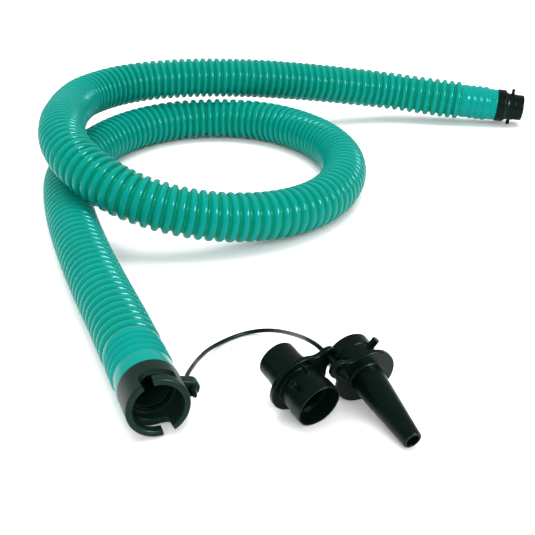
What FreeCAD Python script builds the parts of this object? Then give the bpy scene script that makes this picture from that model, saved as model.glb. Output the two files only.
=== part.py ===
import FreeCAD, Part
import math
import os

# Inflation hose set of a double action hand pump, in millimetres.
#
# A corrugated hose lies on the floor in one loop.  A bayonet socket is pushed into the cuff at its
# front end, and a bayonet spigot, which locks into the pump, is pushed into the other cuff.  A moulded
# tether hangs on the socket's lug, and the pin at its other end carries two adapters by their ears: a
# valve adapter and a cone nozzle.  Both plug into the socket with the same bayonet.
#
# +Z is up and the floor is Z = 0.  +Y runs from the socket end towards the back of the loop.  The
# origin is on the floor under the middle of the set's bounding box.

V = FreeCAD.Vector

# ---- driving dimensions -------------------------------------------------------------------------

# hose
HOSE_R = 17.5                   # crest of the corrugations
HOSE_BORE_R = 15.8
AXIS_Z = HOSE_R                 # height of the hose's centre line where it lies on the floor

# cuffs moulded on the hose's ends.  Each runs from its open edge, at 0, to the corrugations, and has
# three grip ribs: the first rib's middle is rib_first from the edge.
SOCKET_CUFF = dict(length=38.5, edge_r=16.4, back_r=16.8, bore_r=14.2,
                   rib_first=15.6, rib_base_r=15.9, rib_r=17.3)
SPIGOT_CUFF = dict(length=34.0, edge_r=14.3, back_r=15.2, bore_r=12.6,
                   rib_first=11.5, rib_base_r=14.7, rib_r=15.8)
RIB_PITCH = 5.9
RIB_CREST = 1.6                 # flat width of a rib's crest
CUFF_FLANGE = 1.6               # wall at the back, where the corrugations start

# stems pushed into the cuffs
STEM_LENGTH = 22.0
STEM_NECK = 0.4                 # how far the stem is below the crest of its two barbs
AIRWAY_R = 10.2

# bayonet, shared by the socket and both adapters
NOSE_R = 12.8                   # land at the nose's end
RELIEF_R = 12.35                # behind the land, round the pins
LAND_LENGTH = 7.3               # from the nose's end
NOSE_LENGTH = 17.4              # from the flange's face to the end of the nose
MOUTH_R = 12.0                  # the nose's inside tapers from here to the ledge
LEDGE_R = 10.8
LEDGE_DEPTH = 8.3
BORE_R = 13.3
PIN_R = 2.1
PIN_TIP_R = 17.8                # radius that the pins' ends reach
PIN_FROM_END = 10.0             # pins' centre line, from the end of the nose

# socket
SOCKET_R = 16.8
SOCKET_VISIBLE = 20.0           # from the mouth to the cuff's edge
SOCKET_DEPTH = 17.2             # from the mouth to the shoulder that the nose reaches
RIM_ROUNDING = 1.3
SLOT_FRONT = 4.9                # lip between the mouth and the slot
SLOT_BACK = 11.2
SLOT_ENTRY = 107.5              # middle of the upper entry, counterclockwise from the lug's side
ENTRY_HALF_ANGLE = 11.0
SLOT_TURN = 59.0                # how far the slot runs clockwise past the entry's middle
SLOT_CORNER_R = 6.2             # rounding of the slot's back corner, below the entry
SEAL_THICKNESS = 2.0            # lies flush in a pocket in the shoulder
SEAL_R = 12.3
SEAL_BORE_R = 10.6

# lug for the tether, on the socket
LUG_DEPTH = 14.4                # middle of the lug, behind the mouth
LUG_THICKNESS = 6.2
LUG_REACH = 20.1                # hole's distance from the socket's axis
LUG_END_R = 4.7
LUG_HOLE_R = 1.65

# spigot
COLLAR_R = 14.9
COLLAR_LENGTH = 7.0
NECK_START = 11.0
SPIGOT_LENGTH = 24.6            # from the cuff's edge to the end of the nose
SPIGOT_RELIEF_R = 12.2
SPIGOT_NOSE_R = 11.8
SPIGOT_LAND = 8.0
SPIGOT_PIN_R = 1.5
SPIGOT_PIN_TIP_R = 17.0
SPIGOT_PIN_Z = 13.5             # pins' centre line, from the cuff's edge

# adapters
FLANGE_R = 17.0
FLANGE_THICKNESS = 2.8
FLANGE_ROUNDING = 0.5
EAR_REACH = 20.3                # hole's distance from the adapter's axis
EAR_END_R = 5.4
EAR_HOLE_R = 1.8
HOLLOW_R = 8.0                  # hollow between the disc and the ear
GUIDE_ANGLE = 52.0              # small guide rib along the valve adapter's nose, from the ear's side
VALVE_PIN_TURN = 4.5            # its pins are turned a little towards the guide rib's far side
VALVE_TUBE_R = 10.9             # land at the tube's end
VALVE_TUBE_ROOT_R = 12.1
VALVE_TUBE_LAND = 8.0
VALVE_TUBE_LENGTH = 22.0        # from the flange's front face
VALVE_BORE_R = 8.8
CONE_BASE_R = 9.3
CONE_TIP_R = 5.1
CONE_LENGTH = 46.2
VALVE_TILT = 13.5               # the valve adapter leans forward onto its nose
CONE_TILT = 14.3                # the cone nozzle leans forward onto its tip

# tether
STRAP_R = 1.25
STOP_R = 2.9                    # disc behind each plate
STOP_THICKNESS = 1.4
PLAY = 0.35                     # end play of a stop or a barb against its plate
LUG_PIN_R = 1.35
EAR_PIN_R = 1.45
BARB_R = 2.3
BARB_TIP_R = 1.2
BARB_LENGTH = 6.0

# ---- places -------------------------------------------------------------------------------------

SOCKET_MOUTH = V(-85.9, -264.4, AXIS_Z)
SOCKET_AZIMUTH = -70.0          # direction in which the mouth faces, from +X towards +Y
SPIGOT_EDGE = V(184.9, 243.1, 18.25)
SPIGOT_AZIMUTH = -8.0
SPIGOT_TILT = 5.0               # it leans forward until its lower pin touches the floor
VALVE_ADAPTER_XY = (-15.5, -240.8)
VALVE_ADAPTER_AZIMUTH = -55.5
VALVE_EAR_ANGLE = 40.0          # ear's direction above the horizontal, seen from in front
CONE_NOZZLE_AZIMUTH = -63.6
PIN_AZIMUTH = -58.0
EAR_SPACING = 11.2              # from the front of one ear to the front of the other, along the pin

# The hose leaves each cuff straight, for these distances.
SOCKET_RUN = 34.5
SPIGOT_RUN = 28.0

# The hose's route between those runs.  It lies on the floor in one loop, rises over its own first
# stretch at the left, rests on top of the loop's back, and comes down to the floor at the spigot.
HOSE_ROUTE = [
    (-138, -125, 17.5),
    (-160, -63, 17.5),
    (-179, 1, 17.5),
    (-190, 59, 17.5),
    (-181, 115, 17.5),
    (-159, 164, 17.5),
    (-123, 197, 17.5),
    (-76, 207, 17.5),
    (-30, 195, 17.5),
    (6, 160, 17.5),
    (28, 111, 17.5),
    (30, 58, 17.5),
    (12, 7, 17.5),
    (-25, -30, 20),
    (-75, -48, 27),
    (-123, -48, 40),
    (-158, -29, 54),
    (-179, 4, 62),
    (-188, 50, 62),
    (-192, 88, 57),
    (-194, 122, 53.5),
    (-189, 160, 52),
    (-158.5, 196, 52.5),
    (-109, 213, 53),
    (-53.5, 223, 50),
    (-0.5, 241.5, 41.5),
    (47, 254.6, 33),
    (88, 259.9, 27),
]

# The tether leaves its two stops straight, for these distances.
LUG_RUN = 4.0
EAR_RUN = 4.0

# The tether's route between those runs: down to the floor behind the lug, round in a bow that lies on
# it, and up to the pin.
TETHER_ROUTE = [
    (-72.5, -217, 13),
    (-71, -203.5, 8.5),
    (-67, -187, 4.5),
    (-61, -175, 2),
    (-53, -166.5, 1.5),
    (-44.5, -161, 1.5),
    (-35.5, -160, 2.5),
    (-27, -169, 7.5),
    (-19.5, -186, 15.5),
    (-14, -204.5, 24),
    (-10, -219, 30),
]


# ---- helpers ------------------------------------------------------------------------------------

def direction(azimuth, tilt=0.0):
    """Unit vector at an azimuth from +X, leaning down by the tilt."""
    level = math.cos(math.radians(tilt))
    return V(level * math.cos(math.radians(azimuth)),
             level * math.sin(math.radians(azimuth)),
             -math.sin(math.radians(tilt)))


def placement(origin, axis, roll=0.0):
    """Local Z goes to the axis.  Local X lies in its normal plane, at the roll angle above the
    horizontal, counterclockwise when the axis points at the viewer."""
    right = V(0, 0, 1).cross(axis).normalize()
    up = axis.cross(right)
    x = right * math.cos(math.radians(roll)) + up * math.sin(math.radians(roll))
    return FreeCAD.Placement(origin, FreeCAD.Rotation(x, axis.cross(x), axis, "ZXY"))


def placed(shape, where):
    moved = shape.copy()
    moved.Placement = where.multiply(moved.Placement)
    return moved


def turned(points):
    """Solid of revolution about local Z of a closed outline of (radius, z) points."""
    outline = [V(r, 0, z) for r, z in points]
    wire = Part.makePolygon(outline + [outline[0]])
    return Part.Face(wire).revolve(V(0, 0, 0), V(0, 0, 1), 360)


def cylinder(radius, z0, z1, x=0.0, y=0.0):
    return Part.makeCylinder(radius, z1 - z0, V(x, y, z0))


def rounded(shape, size, radius, z):
    """Fillet on the circular edges of that radius at that height."""
    rims = [e for e in shape.Edges
            if isinstance(e.Curve, Part.Circle)
            and abs(e.Curve.Radius - radius) < 0.01 and abs(e.Curve.Center.z - z) < 0.01]
    return shape.makeFillet(size, rims)


def radial_pins(radius, z, root_r, tip_r):
    """Two bayonet pins on opposite sides, along local Y."""
    pins = []
    for side in (1, -1):
        pin = Part.makeCylinder(radius, tip_r - root_r, V(0, side * root_r, z), V(0, side, 0))
        rim = [e for e in pin.Edges if abs(e.CenterOfMass.y - side * tip_r) < 0.01]
        pins.append(pin.makeFillet(0.5, rim))
    return pins


def sector(r0, r1, z0, z1, start, sweep):
    """Part of a ring from r0 to r1, from an angle and over a sweep, in degrees."""
    ring = Part.makeCylinder(r1, z1 - z0, V(0, 0, z0), V(0, 0, 1), sweep)
    ring = ring.cut(cylinder(r0, z0 - 1, z1 + 1))
    ring.rotate(V(0, 0, 0), V(0, 0, 1), start)
    return ring


def route_wire(points):
    """Straight runs joined by tangent arcs, each as large as its two runs allow."""
    edges = []
    radii = []
    last = points[0]
    for before, corner, after in zip(points, points[1:], points[2:]):
        into = (corner - before).normalize()
        out = (after - corner).normalize()
        half_turn = into.getAngle(out) / 2
        reach = 0.45 * min((corner - before).Length, (after - corner).Length)
        radius = reach / math.tan(half_turn)
        radii.append(radius)
        inward = (out - into).normalize()
        middle = corner + inward * (radius / math.cos(half_turn) - radius)
        start = corner - into * reach
        end = corner + out * reach
        edges.append(Part.LineSegment(last, start).toShape())
        edges.append(Part.Arc(start, middle, end).toShape())
        last = end
    edges.append(Part.LineSegment(last, points[-1]).toShape())
    return Part.Wire(edges), radii


def swept(wire, radius):
    start = wire.Edges[0]
    tangent = start.tangentAt(start.FirstParameter)
    ring = Part.Wire(Part.makeCircle(radius, start.Vertexes[0].Point, tangent))
    return wire.makePipeShell([ring], True, False)


def report_route(name, wire, radii, solid, section):
    print("%s: length %.1f mm, smallest radius %.1f mm, volume / (section x length) = %.4f"
          % (name, wire.Length, min(radii), solid.Volume / (section * wire.Length)))
    print("  radii:", " ".join("%.0f" % r for r in radii))


# ---- hose ---------------------------------------------------------------------------------------

def cuff(length, edge_r, back_r, bore_r, rib_first, rib_base_r, rib_r):
    """Local Z runs from the open edge, at 0, to the corrugated tube."""
    first = rib_first - RIB_PITCH / 2
    outline = [(bore_r, 0), (edge_r - 0.5, 0), (edge_r, 0.5), (edge_r + 0.1, first - 0.6),
               (rib_base_r, first)]
    for number in range(3):
        middle = rib_first + number * RIB_PITCH
        outline += [(rib_r, middle - RIB_CREST / 2), (rib_r, middle + RIB_CREST / 2),
                    (rib_base_r, middle + RIB_PITCH / 2)]
    outline += [(back_r, first + 3 * RIB_PITCH + 0.6), (back_r, length - CUFF_FLANGE),
                (HOSE_R - 0.5, length - CUFF_FLANGE), (HOSE_R - 0.5, length), (bore_r, length)]
    return turned(outline)


def hose_tube(start, end):
    """From one cuff's end to the other's, each with the direction in which the hose leaves it."""
    first = start[0] + start[1] * SOCKET_RUN
    last = end[0] + end[1] * SPIGOT_RUN
    points = [start[0], first] + [V(*p) for p in HOSE_ROUTE] + [last, end[0]]
    wire, radii = route_wire(points)
    tube = swept(wire, HOSE_R).cut(swept(wire, HOSE_BORE_R))
    section = math.pi * (HOSE_R ** 2 - HOSE_BORE_R ** 2)
    report_route("hose tube", wire, radii, tube, section)
    return tube


# ---- fittings -----------------------------------------------------------------------------------

def stem(top, barb_r):
    """The stem that the cuff grips, below local Z = top, with two shallow barbs."""
    end = top - STEM_LENGTH
    neck_r = barb_r - STEM_NECK
    outline = [(AIRWAY_R, top), (neck_r, top)]
    for barb in (top - STEM_LENGTH / 2, end + 1):
        outline += [(neck_r, barb + 2), (barb_r, barb + 1.8), (neck_r, barb)]
    outline += [(neck_r, end), (AIRWAY_R, end)]
    return turned(outline)


def bayonet_slot(entry):
    """One J: an entry from the mouth and a run that goes clockwise behind the lip, with its back
    corner rounded."""
    inside = BORE_R - 1
    outside = SOCKET_R + 1
    corner_z = -SLOT_BACK + SLOT_CORNER_R
    corner_half = math.degrees(SLOT_CORNER_R / SOCKET_R)
    corner = entry + ENTRY_HALF_ANGLE - corner_half
    way_in = sector(inside, outside, corner_z, 1, entry - ENTRY_HALF_ANGLE, 2 * ENTRY_HALF_ANGLE)
    run = sector(inside, outside, -SLOT_BACK, -SLOT_FRONT, entry - SLOT_TURN, corner - entry + SLOT_TURN)
    outward = V(math.cos(math.radians(corner)), math.sin(math.radians(corner)), 0)
    bend = Part.makeCylinder(SLOT_CORNER_R, outside - inside, outward * inside + V(0, 0, corner_z), outward)
    bend = bend.common(sector(inside, outside, -SLOT_BACK - 1, corner_z, corner, 2 * corner_half))
    return way_in.fuse([run, bend])


def lug():
    """Ear on the socket's right, in the plane across its axis."""
    z0 = -LUG_DEPTH - LUG_THICKNESS / 2
    z1 = z0 + LUG_THICKNESS
    end = cylinder(LUG_END_R, z0, z1, LUG_REACH)
    root_half = LUG_END_R + 1.6
    root_x = BORE_R + 1.2
    web = Part.Face(Part.makePolygon([
        V(root_x, -root_half, z0), V(LUG_REACH, -LUG_END_R, z0),
        V(LUG_REACH, LUG_END_R, z0), V(root_x, root_half, z0), V(root_x, -root_half, z0)]))
    plate = end.fuse(web.extrude(V(0, 0, LUG_THICKNESS))).removeSplitter()
    rims = [e for e in plate.Edges
            if e.BoundBox.ZLength < 0.01 and e.BoundBox.XMax > root_x + 0.01]
    return plate.makeFillet(1.0, rims)


def socket():
    """Local Z points out of the mouth, which is at 0.  The lug is on local +X."""
    back = -SOCKET_VISIBLE
    stem_r = SOCKET_CUFF["bore_r"]
    floor = -SOCKET_DEPTH - SEAL_THICKNESS
    sleeve = turned([(AIRWAY_R, 0), (SOCKET_R, 0), (SOCKET_R, back), (AIRWAY_R, back)])
    sleeve = rounded(sleeve, RIM_ROUNDING, SOCKET_R, 0)
    body = sleeve.fuse([stem(back, stem_r), lug()])
    mouth = turned([
        (0, -SOCKET_DEPTH), (BORE_R, -SOCKET_DEPTH), (BORE_R, -0.5), (BORE_R + 0.6, 0.1), (0, 0.1)])
    body = body.cut(mouth).cut(cylinder(SEAL_R + 0.1, floor, -SOCKET_DEPTH + 1))
    for entry in (SLOT_ENTRY, SLOT_ENTRY + 180):
        body = body.cut(bayonet_slot(entry))
    hole = cylinder(LUG_HOLE_R, -LUG_DEPTH - LUG_THICKNESS, -LUG_DEPTH + LUG_THICKNESS, LUG_REACH)
    return body.cut(hole).removeSplitter()


def socket_seal():
    front = -SOCKET_DEPTH
    back = front - SEAL_THICKNESS
    return turned([(SEAL_BORE_R, back), (SEAL_R, back), (SEAL_R, front - 0.4), (SEAL_R - 0.4, front),
                   (SEAL_BORE_R + 0.4, front), (SEAL_BORE_R, front - 0.4)])


def spigot():
    """Local Z points out of the cuff, whose edge is at 0, and the pins lie on local Y."""
    stem_r = SPIGOT_CUFF["bore_r"]
    body = turned([
        (AIRWAY_R, -1), (stem_r - STEM_NECK, -1), (stem_r - STEM_NECK, 0), (COLLAR_R, 0),
        (COLLAR_R, COLLAR_LENGTH), (SPIGOT_RELIEF_R + 1.2, COLLAR_LENGTH + 1.4),
        (SPIGOT_RELIEF_R + 0.3, COLLAR_LENGTH + 2.8), (SPIGOT_RELIEF_R, NECK_START),
        (SPIGOT_RELIEF_R, SPIGOT_LENGTH - SPIGOT_LAND - 0.2), (SPIGOT_NOSE_R, SPIGOT_LENGTH - SPIGOT_LAND),
        (SPIGOT_NOSE_R, SPIGOT_LENGTH), (AIRWAY_R, SPIGOT_LENGTH)])
    body = rounded(body, 0.6, COLLAR_R, COLLAR_LENGTH)
    body = rounded(body, 1.4, SPIGOT_NOSE_R, SPIGOT_LENGTH)
    pins = radial_pins(SPIGOT_PIN_R, SPIGOT_PIN_Z, SPIGOT_RELIEF_R - 0.8, SPIGOT_PIN_TIP_R)
    return body.fuse([stem(0, stem_r)] + pins).removeSplitter()


# ---- adapters -----------------------------------------------------------------------------------

def mirrored(point):
    return V(point.x, -point.y, point.z)


def eared_flange():
    """Disc whose front face is at local Z = 0, with an ear on local +X.  A hollow arc, tangent to both,
    joins the disc to the ear on each side."""
    z0 = -FLANGE_THICKNESS
    ear = V(EAR_REACH, 0, z0)
    from_disc = FLANGE_R + HOLLOW_R
    from_ear = EAR_END_R + HOLLOW_R
    x = (from_disc ** 2 - from_ear ** 2 + EAR_REACH ** 2) / (2 * EAR_REACH)
    hollow = V(x, math.sqrt(from_disc ** 2 - x ** 2), z0)
    middle = V(0, 0, z0)
    on_disc = middle + (hollow - middle) * (FLANGE_R / from_disc)
    on_ear = ear + (hollow - ear) * (EAR_END_R / from_ear)
    waist = hollow + ((on_disc - hollow) + (on_ear - hollow)).normalize() * HOLLOW_R
    outline = Part.Wire([
        Part.Arc(mirrored(on_ear), V(EAR_REACH + EAR_END_R, 0, z0), on_ear).toShape(),
        Part.Arc(on_ear, waist, on_disc).toShape(),
        Part.Arc(on_disc, V(-FLANGE_R, 0, z0), mirrored(on_disc)).toShape(),
        Part.Arc(mirrored(on_disc), mirrored(waist), mirrored(on_ear)).toShape()])
    plate = Part.Face(outline).extrude(V(0, 0, FLANGE_THICKNESS))
    rims = [e for e in plate.Edges if e.BoundBox.ZLength < 0.01]
    plate = plate.makeFillet(FLANGE_ROUNDING, rims)
    return plate.cut(cylinder(EAR_HOLE_R, z0 - 1, 1, EAR_REACH))


def bayonet_nose(side):
    """Nose on one side of the flange: side 1 is in front of it, -1 behind it."""
    end = NOSE_LENGTH
    nose = turned([
        (VALVE_BORE_R, -1), (RELIEF_R + 0.4, -1), (RELIEF_R + 0.4, 0), (RELIEF_R, 0.4),
        (RELIEF_R, end - LAND_LENGTH - 0.3), (NOSE_R, end - LAND_LENGTH), (NOSE_R, end),
        (MOUTH_R, end), (LEDGE_R, end - LEDGE_DEPTH), (VALVE_BORE_R, end - LEDGE_DEPTH)])
    nose = rounded(nose, 0.3, NOSE_R, end)
    nose = nose.fuse(radial_pins(PIN_R, end - PIN_FROM_END, MOUTH_R, PIN_TIP_R))
    if side < 0:
        nose.rotate(V(0, 0, 0), V(1, 0, 0), 180)
        nose.translate(V(0, 0, -FLANGE_THICKNESS))
    return nose


def guide_rib():
    """Short rib along the valve adapter's nose."""
    rib = Part.makeBox(1.6, 0.9, 6.0, V(RELIEF_R - 0.6, -0.45, -1.0))
    rib.rotate(V(0, 0, 0), V(0, 0, 1), GUIDE_ANGLE)
    return rib


def valve_adapter():
    """Bayonet nose in front of the flange, smooth valve tube behind it."""
    back = -VALVE_TUBE_LENGTH
    tube = turned([
        (VALVE_BORE_R, 0), (VALVE_BORE_R, back), (VALVE_TUBE_R, back),
        (VALVE_TUBE_R, back + VALVE_TUBE_LAND), (VALVE_TUBE_ROOT_R, -FLANGE_THICKNESS),
        (VALVE_TUBE_ROOT_R, 0)])
    tube = rounded(tube, 1.0, VALVE_TUBE_R, back)
    nose = bayonet_nose(1)
    nose.rotate(V(0, 0, 0), V(0, 0, 1), VALVE_PIN_TURN)
    body = eared_flange().cut(cylinder(VALVE_BORE_R, -30, 30))
    return body.fuse([nose, guide_rib(), tube]).removeSplitter()


def cone_nozzle():
    """Bayonet nose behind the flange, cone in front of it."""
    wall = 1.6
    cone = turned([
        (CONE_BASE_R - wall, -1), (CONE_BASE_R + 0.6, -1), (CONE_BASE_R + 0.6, 0), (CONE_BASE_R, 0.6),
        (CONE_TIP_R, CONE_LENGTH), (CONE_TIP_R - wall, CONE_LENGTH)])
    cone = rounded(cone, 0.6, CONE_TIP_R, CONE_LENGTH)
    body = eared_flange().fuse([bayonet_nose(-1), cone])
    throat_z = -FLANGE_THICKNESS - 3
    throat = turned([
        (0, throat_z), (VALVE_BORE_R, throat_z), (CONE_BASE_R - wall, 2),
        (CONE_TIP_R - wall, CONE_LENGTH + 1), (0, CONE_LENGTH + 1)])
    return body.cut(throat).removeSplitter()


# ---- tether -------------------------------------------------------------------------------------

def barbed_pin(shaft_r, grip):
    """Stop behind local Z = 0, shaft through a stack of the given grip, and a barb in front."""
    nose = grip + PLAY
    back = -PLAY - STOP_THICKNESS
    return turned([
        (0, back), (STOP_R - 0.4, back), (STOP_R, back + 0.4), (STOP_R, -PLAY), (shaft_r, -PLAY),
        (shaft_r, nose), (BARB_R, nose), (BARB_R, nose + 1.0), (BARB_TIP_R, nose + BARB_LENGTH),
        (0, nose + BARB_LENGTH)])


def tether_strap(start, end):
    """From one stop to the other, each with the direction in which the strap leaves it."""
    first = start[0] + start[1] * LUG_RUN
    last = end[0] + end[1] * EAR_RUN
    points = [start[0], first] + [V(*p) for p in TETHER_ROUTE] + [last, end[0]]
    wire, radii = route_wire(points)
    strap = swept(wire, STRAP_R)
    report_route("tether strap", wire, radii, strap, math.pi * STRAP_R ** 2)
    return strap


# ---- assembly -----------------------------------------------------------------------------------

def build():
    parts = {}

    # hose with its cuffs and fittings
    socket_axis = direction(SOCKET_AZIMUTH)
    socket_place = placement(SOCKET_MOUTH, socket_axis)
    front_edge = SOCKET_MOUTH - socket_axis * SOCKET_VISIBLE
    front_end = front_edge - socket_axis * SOCKET_CUFF["length"]
    spigot_axis = direction(SPIGOT_AZIMUTH, SPIGOT_TILT)
    back_end = SPIGOT_EDGE - spigot_axis * SPIGOT_CUFF["length"]
    parts["socket"] = placed(socket(), socket_place)
    parts["socket_seal"] = placed(socket_seal(), socket_place)
    parts["socket_cuff"] = placed(cuff(**SOCKET_CUFF), placement(front_edge, -socket_axis))
    parts["hose_tube"] = hose_tube((front_end, -socket_axis), (back_end, -spigot_axis))
    parts["spigot_cuff"] = placed(cuff(**SPIGOT_CUFF), placement(SPIGOT_EDGE, -spigot_axis))
    parts["spigot"] = placed(spigot(), placement(SPIGOT_EDGE, spigot_axis))

    # the adapters rest on the flange's rim and on the nose or the tip
    valve_axis = direction(VALVE_ADAPTER_AZIMUTH, VALVE_TILT)
    valve_z = FLANGE_R * math.cos(math.radians(VALVE_TILT))
    valve_place = placement(V(*VALVE_ADAPTER_XY, valve_z), valve_axis, VALVE_EAR_ANGLE)
    parts["valve_adapter"] = placed(valve_adapter(), valve_place)
    pin_axis = direction(PIN_AZIMUTH, CONE_TILT)
    valve_hole = valve_place.multVec(V(EAR_REACH, 0, 0))
    cone_axis = direction(CONE_NOZZLE_AZIMUTH, CONE_TILT)
    cone_z = FLANGE_R * math.cos(math.radians(CONE_TILT))
    cone_hole = valve_hole + pin_axis * EAR_SPACING
    ear_rise = (cone_hole.z - cone_z) / (EAR_REACH * math.cos(math.radians(CONE_TILT)))
    cone_ear_angle = 180 - math.degrees(math.asin(ear_rise))
    cone_turn = placement(V(0, 0, 0), cone_axis, cone_ear_angle)
    cone_place = placement(cone_hole - cone_turn.multVec(V(EAR_REACH, 0, 0)), cone_axis, cone_ear_angle)
    parts["cone_nozzle"] = placed(cone_nozzle(), cone_place)

    # tether: a barbed pin at each end of the strap
    lug_back = socket_place.multVec(V(LUG_REACH, 0, -LUG_DEPTH - LUG_THICKNESS / 2))
    parts["tether_lug_pin"] = placed(barbed_pin(LUG_PIN_R, LUG_THICKNESS), placement(lug_back, socket_axis))
    ear_grip = EAR_SPACING + FLANGE_THICKNESS + 0.4
    ear_back = valve_hole - pin_axis * (FLANGE_THICKNESS + 0.2)
    parts["tether_adapter_pin"] = placed(barbed_pin(EAR_PIN_R, ear_grip), placement(ear_back, pin_axis))
    stop_back = PLAY + STOP_THICKNESS
    strap_start = lug_back - socket_axis * stop_back
    strap_end = ear_back - pin_axis * stop_back
    parts["tether_strap"] = tether_strap((strap_start, -socket_axis), (strap_end, -pin_axis))

    print("lug hole", lug_back + socket_axis * (LUG_THICKNESS / 2), "ear hole", valve_hole)
    print("strap from", strap_start, "to", strap_end)
    print("valve adapter at", valve_place.Base, "cone nozzle at", cone_place.Base)
    return parts


def export(parts):
    os.makedirs("parts", exist_ok=True)
    box = FreeCAD.BoundBox()
    for name, shape in parts.items():
        solid = shape.Solids[0]
        print("%-20s valid %s solids %d volume %9.1f  Z %.2f to %.2f"
              % (name, shape.isValid(), len(shape.Solids), solid.Volume, shape.BoundBox.ZMin,
                 shape.BoundBox.ZMax))
        solid.exportStep("parts/%s.step" % name)
        box.add(shape.BoundBox)
    print("box", box)


export(build())
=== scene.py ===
import bisect
import math

import bpy
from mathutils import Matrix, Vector


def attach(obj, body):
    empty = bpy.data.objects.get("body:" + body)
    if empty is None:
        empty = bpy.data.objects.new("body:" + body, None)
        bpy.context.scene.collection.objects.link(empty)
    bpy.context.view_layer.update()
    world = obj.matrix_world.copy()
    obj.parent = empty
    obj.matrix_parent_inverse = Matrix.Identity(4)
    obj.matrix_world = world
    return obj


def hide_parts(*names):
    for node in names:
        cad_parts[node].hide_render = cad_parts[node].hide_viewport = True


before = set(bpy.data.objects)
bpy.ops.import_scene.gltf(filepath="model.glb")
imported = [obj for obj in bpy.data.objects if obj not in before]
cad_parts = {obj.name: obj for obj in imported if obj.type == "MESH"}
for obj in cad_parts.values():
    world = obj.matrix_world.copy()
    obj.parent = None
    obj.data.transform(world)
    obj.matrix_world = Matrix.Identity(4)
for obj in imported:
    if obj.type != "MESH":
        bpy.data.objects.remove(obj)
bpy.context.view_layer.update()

# Inflation hose set of a double action hand pump: a corrugated hose in one loop, with a bayonet socket
# and a tether with two adapters at one end and a bayonet spigot at the other.  Metres, +Z up.

MM = 0.001
scene = bpy.context.scene

# ---- sizes and places, as in the CAD model ------------------------------------------------------

HOSE_R = 17.5 * MM
GROOVE_R = 14.6 * MM            # bottom of the corrugations
WALL = 1.0 * MM
AROUND = 36                     # points round the hose

# Spacing of the ridges at distances along the corrugated tube, both in millimetres.  The soft tube is
# stretched a little where it leaves the socket, and pushed together in its upper strand.
PITCHES = [(0, 7.6), (150, 7.5), (350, 7.05), (880, 7.0), (960, 6.2), (1100, 6.4), (1200, 6.5),
           (1280, 6.0), (1340, 6.4), (1380, 7.05), (1450, 7.5), (1500, 6.6)]
BORE_STEP = 7 * MM              # between the rings of the hose's inside

# Cuffs moulded on the hose's ends, in millimetres.  The front cuff's ribs are 0.4 mm deeper than in the
# CAD model, so that they show.
SOCKET_CUFF = dict(length=38.5, edge_r=16.4, back_r=16.8, bore_r=14.2,
                   rib_first=15.6, rib_base_r=15.5, rib_r=17.3)
SPIGOT_CUFF = dict(length=34.0, edge_r=14.3, back_r=15.2, bore_r=12.6,
                   rib_first=11.5, rib_base_r=14.7, rib_r=15.8)
RIB_PITCH = 5.9
RIBS = 3
RIB_STEPS = 8                   # points along a rib

STRAP_R = 1.25 * MM


def direction(azimuth, tilt=0.0):
    """Unit vector at an azimuth from +X, leaning down by the tilt, both in degrees."""
    level = math.cos(math.radians(tilt))
    return Vector((level * math.cos(math.radians(azimuth)), level * math.sin(math.radians(azimuth)),
                   -math.sin(math.radians(tilt))))


SOCKET_MOUTH = Vector((-85.9, -264.4, 17.5)) * MM
SOCKET_AXIS = direction(-70)
SOCKET_VISIBLE = 20 * MM
SPIGOT_EDGE = Vector((184.9, 243.1, 18.25)) * MM
SPIGOT_AXIS = direction(-8, 5)
ADAPTER_PIN_AXIS = direction(-58, 14.3)

# straight runs out of the cuffs and out of the tether's stops
SOCKET_RUN = 34.5 * MM
SPIGOT_RUN = 28 * MM
LUG_RUN = 4 * MM
EAR_RUN = 4 * MM

HOSE_ROUTE = [
    (-138, -125, 17.5),
    (-160, -63, 17.5),
    (-179, 1, 17.5),
    (-190, 59, 17.5),
    (-181, 115, 17.5),
    (-159, 164, 17.5),
    (-123, 197, 17.5),
    (-76, 207, 17.5),
    (-30, 195, 17.5),
    (6, 160, 17.5),
    (28, 111, 17.5),
    (30, 58, 17.5),
    (12, 7, 17.5),
    (-25, -30, 20),
    (-75, -48, 27),
    (-123, -48, 40),
    (-158, -29, 54),
    (-179, 4, 62),
    (-188, 50, 62),
    (-192, 88, 57),
    (-194, 122, 53.5),
    (-189, 160, 52),
    (-158.5, 196, 52.5),
    (-109, 213, 53),
    (-53.5, 223, 50),
    (-0.5, 241.5, 41.5),
    (47, 254.6, 33),
    (88, 259.9, 27),
]

STRAP_START = Vector((-73.6, -239.4, 17.5)) * MM
TETHER_ROUTE = [
    (-72.5, -217, 13),
    (-71, -203.5, 8.5),
    (-67, -187, 4.5),
    (-61, -175, 2),
    (-53, -166.5, 1.5),
    (-44.5, -161, 1.5),
    (-35.5, -160, 2.5),
    (-27, -169, 7.5),
    (-19.5, -186, 15.5),
    (-14, -204.5, 24),
    (-10, -219, 30),
]
STRAP_END = Vector((-3.4, -230.6, 30.4)) * MM


# ---- camera, floor and lights -------------------------------------------------------------------

CAMERA_PLACE = (-0.0322, -0.6774, 0.2981)
CAMERA_TILT = 63.85             # degrees from straight down
SENSOR_WIDTH = 36               # millimetres, as is the lens
LENS = 67.3

FLOOR_HALF = 6
FLOOR_GREY = 0.97
STUDIO_STRENGTH = 0.66

# Light panels: place, aim, size in metres and power in watts.
KEY = dict(place=(1.12, -0.8, 0.85), aim=(-0.02, 0, 0), size=(0.45, 0.45), power=75)
RIGHT = dict(place=(1.5, -0.4, 1.5), aim=(0, 0, 0), size=(0.8, 0.8), power=4)
TOP = dict(place=(0, 0.6, 2.2), aim=(0, 0, 0), size=(2.6, 2.2), power=76)
FRONT = dict(place=(0, -2.2, 1.3), aim=(0, 0, 0), size=(2.6, 1.2), power=50)


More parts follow.
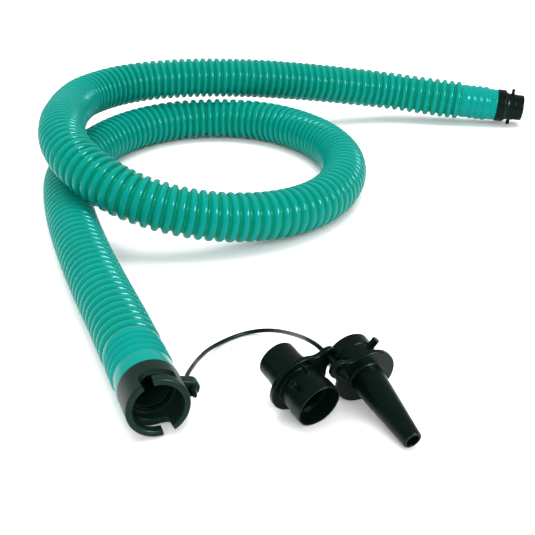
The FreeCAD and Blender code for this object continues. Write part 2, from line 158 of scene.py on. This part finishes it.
def add_camera():
    data = bpy.data.cameras.new("camera")
    data.sensor_width = SENSOR_WIDTH
    data.lens = LENS
    camera = bpy.data.objects.new("camera", data)
    camera.location = CAMERA_PLACE
    camera.rotation_euler = (math.radians(CAMERA_TILT), 0, 0)
    scene.collection.objects.link(camera)
    scene.camera = camera


def add_light(name, place, aim, size, power, reflected=True, diffuse=True):
    """Light panel.  One that isn't reflected only fills in, and leaves no streak on the plastic.

    One that isn't diffuse leaves only glints.
    """
    data = bpy.data.lights.new(name, "AREA")
    data.shape = "RECTANGLE"
    data.size, data.size_y = size
    data.energy = power
    light = bpy.data.objects.new(name, data)
    light.location = place
    light.rotation_euler = (Vector(aim) - Vector(place)).to_track_quat("-Z", "Y").to_euler()
    light.visible_glossy = reflected
    light.visible_diffuse = diffuse
    scene.collection.objects.link(light)


def add_studio():
    mesh = bpy.data.meshes.new("floor")
    corners = [(x * FLOOR_HALF, y * FLOOR_HALF, 0) for x, y in ((-1, -1), (1, -1), (1, 1), (-1, 1))]
    mesh.from_pydata(corners, [], [(0, 1, 2, 3)])
    floor = bpy.data.objects.new("floor", mesh)
    scene.collection.objects.link(floor)
    material, shader = new_material("floor_paper")
    shader.inputs["Base Color"].default_value = (FLOOR_GREY, FLOOR_GREY, FLOOR_GREY, 1)
    shader.inputs["Roughness"].default_value = 0.9
    shader.inputs["Specular IOR Level"].default_value = 0.0
    mesh.materials.append(material)

    world = bpy.data.worlds.new("studio")
    world.use_nodes = True
    background = world.node_tree.nodes["Background"]
    background.inputs["Color"].default_value = (1, 1, 1, 1)
    background.inputs["Strength"].default_value = STUDIO_STRENGTH
    scene.world = world
    add_light("key", **KEY, diffuse=False)
    add_light("right", **RIGHT, reflected=False)
    add_light("top", **TOP, reflected=False)
    add_light("front", **FRONT, reflected=False)
    scene.view_settings.view_transform = "Standard"


# ---- materials ----------------------------------------------------------------------------------

# Each plastic wavers between two near colours.
TEAL = ((0.0008, 0.196, 0.166), (0.0010, 0.212, 0.181))
# Painted shade: the colour at the bottom of each groove, darker and greener than the crests.
TEAL_GROOVE_SHADE = (0.0008, 0.190, 0.108)
TEAL_ROUGHNESS = (0.17, 0.22)
TEAL_SPECULAR = 0.12
TEAL_TINT = (0.4, 1.0, 0.97)
BLACK = (0.0008, 0.0024, 0.0017)
SOCKET_BLACK = (0.004, 0.011, 0.008)
BLACK_SPREAD = 1.5              # how much paler the second black is
BLACK_SPECULAR = 0.11
BLACK_TINT = (0.52, 1.0, 0.80)
ADAPTER_ROUGHNESS = 0.29
FITTING_ROUGHNESS = 0.36
TETHER_ROUGHNESS = 0.3
SEAL_ROUGHNESS = 0.7
EDGE_ROUNDING = 0.5 * MM
GRAIN_DEPTH = 0.2 * MM
NOISE_RANGE = (0.3, 0.7)        # where nearly all of a noise's values lie


def new_material(name):
    material = bpy.data.materials.new(name)
    material.use_nodes = True
    return material, material.node_tree.nodes["Principled BSDF"]


def add_node(material, kind, **settings):
    node = material.node_tree.nodes.new(kind)
    for key, value in settings.items():
        setattr(node, key, value)
    return node


def join(material, source, target):
    material.node_tree.links.new(source, target)


def noise(material, scale, detail=3.0):
    coordinates = add_node(material, "ShaderNodeTexCoord")
    texture = add_node(material, "ShaderNodeTexNoise")
    texture.inputs["Scale"].default_value = scale
    texture.inputs["Detail"].default_value = detail
    join(material, coordinates.outputs["Object"], texture.inputs["Vector"])
    return texture


def remapped(material, value, low, high):
    """A noise's value brought into a range from low to high."""
    node = add_node(material, "ShaderNodeMapRange")
    node.inputs["From Min"].default_value, node.inputs["From Max"].default_value = NOISE_RANGE
    node.inputs["To Min"].default_value = low
    node.inputs["To Max"].default_value = high
    join(material, value, node.inputs["Value"])
    return node.outputs["Result"]


def bumped(material, shader, height, strength, distance, edge_rounding=0.0):
    """Bump from a height, over the piece's own normal or over one that rounds its edges."""
    bump = add_node(material, "ShaderNodeBump")
    if edge_rounding:
        bevel = add_node(material, "ShaderNodeBevel", samples=6)
        bevel.inputs["Radius"].default_value = edge_rounding
        join(material, bevel.outputs["Normal"], bump.inputs["Normal"])
    bump.inputs["Strength"].default_value = strength
    bump.inputs["Distance"].default_value = distance
    join(material, height, bump.inputs["Height"])
    join(material, bump.outputs["Normal"], shader.inputs["Normal"])


def mixed(material, factor, first, second):
    """Colour between two others, each either a tuple or another node's output."""
    node = add_node(material, "ShaderNodeMix", data_type="RGBA")
    join(material, factor, node.inputs["Factor"])
    for socket, colour in (("A", first), ("B", second)):
        target = [i for i in node.inputs if i.name == socket and i.type == "RGBA"][0]
        if isinstance(colour, tuple):
            target.default_value = (*colour, 1)
        else:
            join(material, colour, target)
    return [o for o in node.outputs if o.type == "RGBA"][0]


def hose_plastic():
    """Glossy teal plastic, with painted shade in the grooves: greener and deeper there."""
    material, shader = new_material("teal_plastic")
    groove = add_node(material, "ShaderNodeAttribute", attribute_name="groove")
    cloud = noise(material, 25.0)
    crest = mixed(material, remapped(material, cloud.outputs["Fac"], 0, 1), *TEAL)
    # painted shade: the colour turns to the groove shade towards the bottom of each groove
    colour = mixed(material, groove.outputs["Fac"], crest, TEAL_GROOVE_SHADE)
    join(material, colour, shader.inputs["Base Color"])
    grain = noise(material, 900.0, 2.0)
    join(material, remapped(material, grain.outputs["Fac"], *TEAL_ROUGHNESS), shader.inputs["Roughness"])
    bumped(material, shader, grain.outputs["Fac"], 0.05, GRAIN_DEPTH)
    shader.inputs["Specular IOR Level"].default_value = TEAL_SPECULAR
    shader.inputs["Specular Tint"].default_value = (*TEAL_TINT, 1)
    return material


def black_plastic(name, roughness, colour=BLACK):
    """Moulded plastic or rubber, greenish black, with a fine grain."""
    material, shader = new_material(name)
    cloud = noise(material, 60.0)
    paler = tuple(c * BLACK_SPREAD for c in colour)
    join(material, mixed(material, remapped(material, cloud.outputs["Fac"], 0, 1), colour, paler),
         shader.inputs["Base Color"])
    grain = noise(material, 2200.0, 2.0)
    join(material, remapped(material, grain.outputs["Fac"], roughness - 0.05, roughness + 0.07),
         shader.inputs["Roughness"])
    shader.inputs["Specular IOR Level"].default_value = BLACK_SPECULAR
    shader.inputs["Specular Tint"].default_value = (*BLACK_TINT, 1)
    bumped(material, shader, grain.outputs["Fac"], 0.10, GRAIN_DEPTH, EDGE_ROUNDING)
    return material


# ---- hose ---------------------------------------------------------------------------------------

def nurbs_curve(name, points):
    data = bpy.data.curves.new(name, "CURVE")
    data.dimensions = "3D"
    data.resolution_u = 24
    spline = data.splines.new("NURBS")
    spline.points.add(len(points) - 1)
    for point, place in zip(spline.points, points):
        point.co = (*place, 1)
    spline.order_u = 3
    spline.use_endpoint_u = True
    curve = bpy.data.objects.new(name, data)
    scene.collection.objects.link(curve)
    return curve


def line_of(curve):
    """Points along the curve's own line."""
    bpy.context.view_layer.update()
    mesh = bpy.data.meshes.new_from_object(curve)
    points = [v.co.copy() for v in mesh.vertices]
    bpy.data.meshes.remove(mesh)
    return points


class Track:
    """A line with its distance along it and a frame that doesn't twist."""

    def __init__(self, points):
        self.points = points
        self.distances = [0.0]
        for a, b in zip(points, points[1:]):
            self.distances.append(self.distances[-1] + (b - a).length)
        self.length = self.distances[-1]
        self.sides = []
        side = None
        previous = None
        for i in range(len(points)):
            tangent = self.tangent(i)
            if side is None:
                side = tangent.cross(Vector((0, 0, 1))).normalized()
            else:
                side = previous.rotation_difference(tangent) @ side
            self.sides.append(side)
            previous = tangent

    def tangent(self, i):
        before = self.points[max(i - 1, 0)]
        after = self.points[min(i + 1, len(self.points) - 1)]
        return (after - before).normalized()

    def at(self, distance):
        """Point, side and up at a distance along the line."""
        i = bisect.bisect_right(self.distances, distance) - 1
        i = min(max(i, 0), len(self.distances) - 2)
        share = (distance - self.distances[i]) / (self.distances[i + 1] - self.distances[i])
        point = self.points[i].lerp(self.points[i + 1], share)
        tangent = self.tangent(i).lerp(self.tangent(i + 1), share).normalized()
        side = self.sides[i].lerp(self.sides[i + 1], share)
        side = (side - tangent * side.dot(tangent)).normalized()
        return point, side, side.cross(tangent)


# one corrugation: share of the pitch, and share of the way from the groove up to the crest
RIDGE = [(0.04, 0.0), (0.10, 0.13), (0.16, 0.48), (0.23, 0.80), (0.34, 0.965), (0.48, 1.0), (0.62, 0.965),
         (0.74, 0.80), (0.82, 0.48), (0.89, 0.13), (0.96, 0.0)]


def cuff_profile(length, edge_r, back_r, rib_first, rib_base_r, rib_r, **_):
    """(distance from the open edge, radius) of a cuff's outside."""
    first = rib_first - RIB_PITCH / 2
    rise = rib_r - rib_base_r
    profile = [(0, edge_r - 0.9), (0.2, edge_r - 0.4), (0.6, edge_r - 0.1), (1.2, edge_r),
               (first - 1.6, edge_r + 0.1), (first - 0.6, edge_r - 0.1)]
    for number in range(RIBS):
        for step in range(RIB_STEPS):
            share = step / RIB_STEPS
            swell = (1 - math.cos(2 * math.pi * share)) / 2
            profile.append((first + (number + share) * RIB_PITCH, rib_base_r + rise * swell ** 0.8))
    last = first + RIBS * RIB_PITCH
    profile += [(last, rib_base_r), (last + 0.6, back_r - 0.4), (last + 1.4, back_r),
                ((last + length) / 2, back_r + 0.15), (length - 1.6, back_r), (length - 0.7, back_r - 0.4)]
    return [(d * MM, r * MM) for d, r in profile]


def local_pitch(distance):
    """Spacing of the ridges at a distance along the corrugated tube."""
    for (d0, p0), (d1, p1) in zip(PITCHES, PITCHES[1:]):
        if distance <= d1 * MM:
            return (p0 + (p1 - p0) * (distance / MM - d0) / (d1 - d0)) * MM
    return PITCHES[-1][1] * MM


def ridge_starts(length):
    """Where each ridge starts, with the last one ending at the tube's end."""
    starts = [0.0]
    while starts[-1] < length:
        starts.append(starts[-1] + local_pitch(starts[-1]))
    return [start * length / starts[-1] for start in starts]


def hose_profile(length):
    """(distance, radius, groove) along the whole hose's outside."""
    front = SOCKET_CUFF["length"] * MM
    back = SPIGOT_CUFF["length"] * MM
    profile = [(d, r, 0.0) for d, r in cuff_profile(**SOCKET_CUFF)]
    corrugated = length - front - back
    starts = ridge_starts(corrugated)
    for here, after in zip(starts, starts[1:]):
        for share, rise in RIDGE:
            distance = front + here + share * (after - here)
            profile.append((distance, GROOVE_R + rise * (HOSE_R - GROOVE_R), 1 - rise))
    profile += [(length - d, r, 0.0) for d, r in reversed(cuff_profile(**SPIGOT_CUFF))]
    return profile


def bore_radius(distance, length):
    """Radius of the hose's inside, which in each cuff is that of the stem pushed into it."""
    if distance < SOCKET_CUFF["length"] * MM:
        return SOCKET_CUFF["bore_r"] * MM
    if distance > length - SPIGOT_CUFF["length"] * MM:
        return SPIGOT_CUFF["bore_r"] * MM
    return GROOVE_R - WALL


def tube_mesh(name, track, outside, inside):
    """Closed tube: the outside profile forward, then the inside profile back."""
    loop = outside + inside
    vertices = []
    for distance, radius, _ in loop:
        point, side, up = track.at(distance)
        for k in range(AROUND):
            angle = 2 * math.pi * k / AROUND
            vertices.append(point + (side * math.cos(angle) + up * math.sin(angle)) * radius)
    faces = []
    for i in range(len(loop)):
        a = i * AROUND
        b = (i + 1) % len(loop) * AROUND
        for k in range(AROUND):
            n = (k + 1) % AROUND
            faces.append((a + k, a + n, b + n, b + k))
    mesh = bpy.data.meshes.new(name)
    mesh.from_pydata(vertices, [], faces)
    mesh.polygons.foreach_set("use_smooth", [True] * len(faces))
    groove = mesh.attributes.new("groove", "FLOAT", "POINT")
    groove.data.foreach_set("value", [g for _, _, g in loop for _ in range(AROUND)])
    mesh.update()
    piece = bpy.data.objects.new(name, mesh)
    scene.collection.objects.link(piece)
    return piece


def add_hose():
    start = SOCKET_MOUTH - SOCKET_AXIS * SOCKET_VISIBLE
    front = start - SOCKET_AXIS * SOCKET_CUFF["length"] * MM
    end = SPIGOT_EDGE
    back = end - SPIGOT_AXIS * SPIGOT_CUFF["length"] * MM
    points = [start, front, front - SOCKET_AXIS * SOCKET_RUN]
    points += [Vector(p) * MM for p in HOSE_ROUTE]
    points += [back - SPIGOT_AXIS * SPIGOT_RUN, back, end]
    curve = nurbs_curve("hose_line", points)
    track = Track(line_of(curve))
    bpy.data.objects.remove(curve)
    outside = hose_profile(track.length)
    inside = []
    count = round(track.length / BORE_STEP)
    for i in range(count, -1, -1):
        distance = track.length * i / count
        inside.append((distance, bore_radius(distance, track.length), 0.0))
    hose = tube_mesh("hose", track, outside, inside)
    hose.data.materials.append(hose_plastic())
    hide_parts("hose_tube", "socket_cuff", "spigot_cuff")
    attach(hose, "hose_set")


def add_tether():
    points = [STRAP_START, STRAP_START - SOCKET_AXIS * LUG_RUN]
    points += [Vector(p) * MM for p in TETHER_ROUTE]
    points += [STRAP_END - ADAPTER_PIN_AXIS * EAR_RUN, STRAP_END]
    strap = nurbs_curve("tether", points)
    track = Track(line_of(strap))
    strap.data.bevel_depth = STRAP_R
    strap.data.bevel_resolution = 6
    strap.data.use_fill_caps = True
    strap.data.materials.append(black_plastic("tether_plastic", TETHER_ROUGHNESS))
    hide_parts("tether_strap")
    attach(strap, "tether")


# ---- fittings -----------------------------------------------------------------------------------

def finish_node(name, material):
    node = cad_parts[name]
    node.data.materials.clear()
    node.data.materials.append(material)


def finish_fittings():
    """Materials of the pieces that keep their CAD shape."""
    fitting = black_plastic("fitting_plastic", FITTING_ROUGHNESS, SOCKET_BLACK)
    adapter = black_plastic("adapter_plastic", ADAPTER_ROUGHNESS)
    finish_node("socket", fitting)
    for name in ("spigot", "valve_adapter", "cone_nozzle", "tether_lug_pin", "tether_adapter_pin"):
        finish_node(name, adapter)
    finish_node("socket_seal", black_plastic("seal_rubber", SEAL_ROUGHNESS))


add_camera()
add_studio()
add_hose()
add_tether()
finish_fittings()
